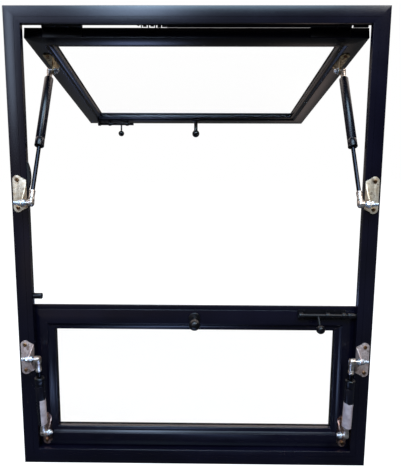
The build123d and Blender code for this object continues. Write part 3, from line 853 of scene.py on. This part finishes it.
def strutLabels():
    # bare paper bands round the lower tubes, cut a little askew, with a slight wave at their cut ends
    look = {
        "radius": 11.62 * mm, "start": 26.0, "thick": 0.12 * mm, "sides": 56, "wave": 0.5 * mm, "waves": 5,
        "waved": 0.4, "roomSide": 0.3,
    }
    # the last value is how far right of the tube's middle a band starts on the room side, where it isn't
    # all round
    bands = (
        (-1, "left_strut_label", 73.0 * mm, (9, -12), 0.8 * mm),
        (1, "right_strut_label", 69.0 * mm, (-10, -7), None),
    )
    for side, name, length, slants, bare in bands:
        ball, way = strutAxis(False, side)
        band = uprightCylinder(look["sides"], look["radius"], length, end_fill_type="NOTHING")
        editAll(band)
        bpy.ops.mesh.subdivide(number_cuts=1)
        leaveEdit()
        for height, slant in zip((0.0, length), slants):
            editEdges(band, lambda a, b: abs(a.z - height) < 1e-6 and abs(b.z - height) < 1e-6)
            bpy.ops.transform.rotate(
                value=math.radians(slant), orient_axis="Y", center_override=(0, 0, height),
            )
            leaveEdit()
        for vertex in band.data.vertices:
            # back onto the tube after the slant
            angle = math.atan2(vertex.co.y, vertex.co.x)
            vertex.co.x = look["radius"] * math.cos(angle)
            vertex.co.y = look["radius"] * math.sin(angle)
            if abs(vertex.co.z - length / 2) > length * look["waved"]:
                vertex.co.z += look["wave"] * math.sin(look["waves"] * angle + side)
        band.matrix_world = standing(ball + way * look["start"], way)
        selectOnly(band)
        applyPlace()
        if bare is not None:
            editFaces(band, lambda face: (
                face.center.x < ball.x * mm + bare and face.normal.y < look["roomSide"]
            ))
            bpy.ops.mesh.delete(type="FACE")
            leaveEdit()
        thicken = band.modifiers.new("paper", "SOLIDIFY")
        thicken.thickness = look["thick"]
        thicken.offset = 1
        bpy.ops.object.modifier_apply(modifier=thicken.name)
        finishPiece(band, name, paper)


def strutSockets():
    # pressed ball sockets: a domed cup across the strut, and a neck that tapers to the rod or tube
    look = {
        "cup": 9.0, "dome": 6.0, "length": 16.0, "root": 7.9, "neck": 6.6, "reach": 24.0, "closedEnd": 8.0,
        "edge": 0.5 * mm,
    }
    r, dome, root, neck, reach = look["cup"], look["dome"], look["root"], look["neck"], look["reach"]
    domed = [
        (r * math.sin(math.radians(a)), dome - dome * math.cos(math.radians(a))) for a in range(16, 91, 12)
    ]
    cup = turnedPiece(domed + [(r, 13.4), (r - 0.4, 14.6), (r - 0.4, 15.2), (r - 1, look["length"])], 40)
    lying = Matrix.Rotation(math.radians(90), 4, "Y")
    cup.matrix_world = Matrix.Translation((-look["closedEnd"] * mm, 0, 0)) @ lying
    selectOnly(cup)
    applyPlace()
    stem = turnedPiece([
        (root, 0), (root, 7.5), (root - 0.3, 9.5), (7.0, 12), (neck, 15), (neck, reach - 0.6),
        (neck - 0.6, reach),
    ], 40)
    selectOnly(cup)
    union = cup.modifiers.new("neck", "BOOLEAN")
    union.operation = "UNION"
    union.object = stem
    bpy.ops.object.modifier_apply(modifier=union.name)
    selectOnly(stem)
    bpy.ops.object.delete()
    bevelSharp(cup, look["edge"], 2)
    places = {"upper": [], "lower": []}
    for side in (-1, 1):
        for upper, name in ((True, "upper"), (False, "lower")):
            ball, way = strutAxis(upper, side)
            # a cup opens to its stud: outwards at the frame and inwards at the sash
            for point, mouth, toward in ((frameBall(upper, side), side, -way), (ball, -side, way)):
                across = Vector((mouth, 0, 0))
                turn = Matrix((across, toward.cross(across), toward)).transposed().to_4x4()
                places[name].append(Matrix.Translation(point * mm) @ turn)
    for name, matrices in places.items():
        selectOnly(cup)
        bpy.ops.object.duplicate()
        piece = placeCopies(bpy.context.object, matrices)
        finishPiece(piece, name + "_sockets", socketZinc, [name + "_strut_sockets"])
    selectOnly(cup)
    bpy.ops.object.delete()


def pullKnobs():
    # turned and buffed: a rosette, a straight neck and a ball
    look = {"rosette": 15.0, "neck": 7.0, "neckEnd": 36.5, "ball": 14.0, "reach": 51.0, "fromEdge": 34.0}
    rosette, neck, ball = look["rosette"], look["neck"], look["ball"]
    profile = [
        (rosette, 0), (rosette, 2.2), (rosette - 0.7, 3.3), (rosette - 2, 4), (neck + 1.6, 4.2),
        (neck + 0.5, 4.8), (neck, 6), (neck, look["neckEnd"]), (neck + 0.4, 38.2),
    ]
    for a in range(38, 175, 9):
        profile.append((ball * math.sin(math.radians(a)), look["reach"] - ball * math.cos(math.radians(a))))
    places = []
    for upper in (True, False):
        room = -sashDirections(upper)[2]
        places.append(standing(onSash(upper, 0, meetingEdge(upper) - look["fromEdge"], 0), room))
    knobs = placeCopies(turnedPiece(profile), places)
    finishPiece(knobs, "turned_pull_knobs", phenolic, ["pull_knobs"])


def gapShadeBlocks():
    # dark rubber blocks under the head by the hinges: painted shade in the gap, in scraps at the left end
    look = {"front": 14.0, "back": 20.0, "top": 1124.0, "edge": 1.2 * mm}
    # where each length starts and stops, and how far it hangs
    lengths = (
        (-70, 276, 10.4), (378, 413, 10.4), (-141, -137, 7), (-133, -130.5, 10), (-128, -119, 9),
        (-116, -113, 10.4), (-110, -101, 8.5), (-99, -96, 10.4), (-93, -84, 10.4), (-82, -70.5, 9.6),
    )
    pieces = []
    for start, stop, hang in lengths:
        deselectAll()
        bpy.ops.mesh.primitive_cube_add(size=1)
        block = bpy.context.object
        middle = Vector((start + stop, look["front"] + look["back"], 2 * look["top"] - hang)) / 2
        block.location = middle * mm
        block.scale = Vector((stop - start, look["back"] - look["front"], hang)) * mm
        applyPlace()
        low = (look["top"] - hang) * mm
        editEdges(block, lambda a, b: max(a.z, b.z) < low + 0.1 * mm and abs(a.x - b.x) > mm)
        bpy.ops.mesh.bevel(offset=look["edge"], segments=3, affect="EDGES")
        leaveEdit()
        pieces.append(block)
    finishPiece(joinAll(pieces), "head_gap_shade_blocks", rubber)


strutTubes()
rodEnds()
strutLabels()
strutSockets()
pullKnobs()
gapShadeBlocks()
print("strut details and knobs made")


# Studio

def sortRays(tree):
    # which rays see the backdrop as the camera does, straight or through glass, and which see it in a
    # reflection; a ray through glass counts as glossy too, and is told by having met nothing else
    rays = addNode(tree, "ShaderNodeLightPath", {})
    bounced = addNode(tree, "ShaderNodeMath", {
        0: rays.outputs["Glossy Depth"], 1: rays.outputs["Diffuse Depth"],
    }, operation="ADD", use_clamp=True).outputs[0]
    direct = addNode(tree, "ShaderNodeMath", {
        0: rays.outputs["Is Camera Ray"], 1: rays.outputs["Is Transmission Ray"],
    }, operation="MAXIMUM").outputs[0]
    seen = addNode(tree, "ShaderNodeMath", {0: direct, 1: bounced}, operation="SUBTRACT", use_clamp=True)
    inGloss = addNode(tree, "ShaderNodeMath", {
        0: rays.outputs["Is Glossy Ray"], 1: bounced,
    }, operation="MULTIPLY")
    return rays, seen.outputs[0], inGloss.outputs[0]


def makeFloor():
    # a white sweep for the camera, and in reflections a dim floor with a painted glow and patches of painted
    # light on it; the reaches are in metres from the window's foot
    look = {
        "size": 60.0, "pale": 0.3, "mirrored": 0.05, "near": 0.96, "far": 1.0, "nearReach": 1.2,
        "farReach": 4.0, "inGlossNear": 0.02, "inGlossFar": 0.1, "inGlossReach": (0.7, 3.0),
    }
    # painted light on the floor for reflections: place, turn, half length and width, strength, colour
    patches = (
        ((-0.36, 1.32), 0, (0.36, 0.38), 4.2, "#a9c0ff"),
        ((-0.85, 1.65), 0, (0.5, 0.7), 0.22, "#b4c4f0"),
        ((0.86, 1.98), 0, (0.48, 0.6), 0.95, "#ffe4dc"),
        ((-0.12, -0.28), 24.5, (0.42, 0.11), 8.0, "#9fb8f0"),
        ((-1.4, -3.2), 0, (1.3, 2.3), 0.5, "#ffe4d6"),
    )
    deselectAll()
    bpy.ops.mesh.primitive_plane_add(size=look["size"], location=(0, 0, 0))
    floor = bpy.context.object
    floor.name = "studio_floor"
    material, tree, shader, place = newMaterial("matt_studio_floor")
    shader.inputs["Roughness"].default_value = 1.0
    shader.inputs["Specular IOR Level"].default_value = 0.0
    reach = addNode(tree, "ShaderNodeVectorMath", {0: place}, operation="LENGTH").outputs["Value"]
    glow = addNode(tree, "ShaderNodeMapRange", {
        "Value": reach, "From Min": look["nearReach"], "From Max": look["farReach"],
        "To Min": look["near"], "To Max": look["far"],
    })
    dimFrom, dimTo = look["inGlossReach"]
    paintedGlow = addNode(tree, "ShaderNodeMapRange", {
        "Value": reach, "From Min": dimFrom, "From Max": dimTo,
        "To Min": look["inGlossNear"], "To Max": look["inGlossFar"],
    }).outputs["Result"]
    # each patch adds painted light to the floor's glow in reflections
    for middle, turn, size, light, colour in patches:
        spread = addNode(tree, "ShaderNodeMapping", {
            "Vector": place, "Location": (*middle, 0), "Rotation": (0, 0, math.radians(turn)),
            "Scale": (*size, 1),
        }, vector_type="TEXTURE")
        outOf = addNode(tree, "ShaderNodeVectorMath", {0: spread.outputs[0]}, operation="LENGTH")
        patch = addNode(tree, "ShaderNodeMapRange", {
            "Value": outOf.outputs["Value"], "To Min": light, "To Max": 0.0,
        }, interpolation_type="SMOOTHSTEP")
        coloured = addNode(tree, "ShaderNodeVectorMath", {
            0: hexColour(colour)[:3], "Scale": patch.outputs["Result"],
        }, operation="SCALE")
        paintedGlow = addNode(tree, "ShaderNodeVectorMath", {
            0: paintedGlow, 1: coloured.outputs[0],
        }, operation="ADD").outputs[0]
    rays, seen, inGloss = sortRays(tree)
    pale = addNode(tree, "ShaderNodeMapRange", {
        "Value": rays.outputs["Is Camera Ray"], "To Min": look["mirrored"], "To Max": look["pale"],
    })
    tree.links.new(pale.outputs["Result"], shader.inputs["Base Color"])
    mirrored = addNode(tree, "ShaderNodeVectorMath", {0: paintedGlow, "Scale": inGloss}, operation="SCALE")
    shown = addNode(tree, "ShaderNodeMath", {0: seen, 1: glow.outputs["Result"]}, operation="MULTIPLY")
    total = addNode(tree, "ShaderNodeVectorMath", {
        0: mirrored.outputs[0], 1: shown.outputs[0],
    }, operation="ADD")
    tree.links.new(total.outputs[0], shader.inputs["Emission Color"])
    shader.inputs["Emission Strength"].default_value = 1.0
    floor.data.materials.append(material)


def makeWorld():
    # white where the camera looks; in reflections a dim room behind the camera, and daylight behind the
    # window, which grows toward the sky; directions run from -1 to 1
    look = {
        "room": 0.3, "leftOfCamera": 0.34, "rightOfCamera": 0.02, "leftToRight": (-0.4, 0.3),
        "outdoors": 0.3, "sky": 2.5, "horizonToSky": (0.3, 0.6), "roomToOutdoors": (-0.1, 0.3),
        "warm": "#fff0e8",
    }
    world = bpy.data.worlds.new("studio")
    bpy.context.scene.world = world
    world.use_nodes = True
    tree = world.node_tree
    rays, seen, inGloss = sortRays(tree)
    direction = addNode(tree, "ShaderNodeTexCoord", {}).outputs["Generated"]
    parts = addNode(tree, "ShaderNodeSeparateXYZ", {0: direction})
    room = addNode(tree, "ShaderNodeMapRange", {
        "Value": parts.outputs["X"], "From Min": look["leftToRight"][0], "From Max": look["leftToRight"][1],
        "To Min": look["leftOfCamera"], "To Max": look["rightOfCamera"],
    })
    outdoors = addNode(tree, "ShaderNodeMapRange", {
        "Value": parts.outputs["Z"], "From Min": look["horizonToSky"][0], "From Max": look["horizonToSky"][1],
        "To Min": look["outdoors"], "To Max": look["sky"],
    })
    around = addNode(tree, "ShaderNodeMapRange", {
        "Value": parts.outputs["Y"],
        "From Min": look["roomToOutdoors"][0], "From Max": look["roomToOutdoors"][1],
        "To Min": room.outputs["Result"], "To Max": outdoors.outputs["Result"],
    })
    mirrored = addNode(tree, "ShaderNodeMath", {
        0: inGloss, 1: around.outputs["Result"],
    }, operation="MULTIPLY")
    bright = addNode(tree, "ShaderNodeMath", {0: seen, 1: mirrored.outputs[0]}, operation="MAXIMUM")
    dim = addNode(tree, "ShaderNodeMath", {
        0: rays.outputs["Is Diffuse Ray"], 1: look["room"],
    }, operation="MULTIPLY")
    total = addNode(tree, "ShaderNodeMath", {0: bright.outputs[0], 1: dim.outputs[0]}, operation="MAXIMUM")
    back = tree.nodes["Background"]
    tint = addNode(tree, "ShaderNodeValToRGB", {"Fac": inGloss})
    setRamp(tint.color_ramp, [(0.0, hexColour("#ffffff")), (1.0, hexColour(look["warm"]))])
    tree.links.new(tint.outputs["Color"], back.inputs["Color"])
    tree.links.new(total.outputs[0], back.inputs["Strength"])


def makeLamp(name, place, target, size, watts, colour):
    deselectAll()
    bpy.ops.object.light_add(type="AREA", location=place)
    lamp = bpy.context.object
    lamp.name = name
    lamp.data.shape = "RECTANGLE"
    lamp.data.size, lamp.data.size_y = size
    lamp.data.energy = watts
    lamp.data.color = colour
    lamp.rotation_euler = (Vector(target) - Vector(place)).to_track_quat("-Z", "Y").to_euler()


def makeCamera():
    # placed from the photograph's perspective, for a picture of 401 by 473 pixels
    look = {
        "place": (0.0022, -1.0873, 0.7679), "down": 7.63, "left": 0.59, "roll": 0.22,
        "focalPixels": 435.66, "centre": (191.43, 230.65), "picture": (401, 473), "sensor": 36.0,
    }
    deselectAll()
    bpy.ops.object.camera_add(location=look["place"])
    camera = bpy.context.object
    camera.name = "photo_camera"
    turn = Matrix.Rotation(math.radians(look["left"]), 3, "Z")
    tilt = Matrix.Rotation(math.radians(90 - look["down"]), 3, "X")
    roll = Matrix.Rotation(math.radians(look["roll"]), 3, "Z")
    camera.rotation_euler = (turn @ tilt @ roll).to_euler()
    width, height = look["picture"]
    camera.data.sensor_width = look["sensor"]
    camera.data.lens = look["focalPixels"] * look["sensor"] / height
    camera.data.shift_x = (width / 2 - look["centre"][0]) / height
    camera.data.shift_y = (look["centre"][1] - height / 2) / height
    camera.data.clip_start = 0.01
    bpy.context.scene.camera = camera


makeFloor()
makeWorld()
lamps = (
    # name, place, what it points at, width and height, watts, colour
    ("left_window", (-0.52, -2.6, 2.85), (-0.15, 0, 1.15), (0.5, 1.7), 36, (0.52, 0.7, 1.0)),
    ("left_wall", (-2.0, -2.4, 2.3), (-0.3, 0, 0.9), (0.9, 2.2), 36, (0.6, 0.74, 1.0)),
    ("ceiling", (0.1, -1.75, 3.2), (0.1, -0.6, 0.2), (2.2, 1.4), 105, (0.54, 0.78, 1.0)),
    ("high_side", (1.9, -1.7, 3.0), (0, 0, 0.5), (0.9, 0.9), 40, (1.0, 0.97, 0.93)),
)
for lamp in lamps:
    makeLamp(*lamp)
makeCamera()
bpy.context.scene.view_settings.view_transform = "Standard"
print("studio made")
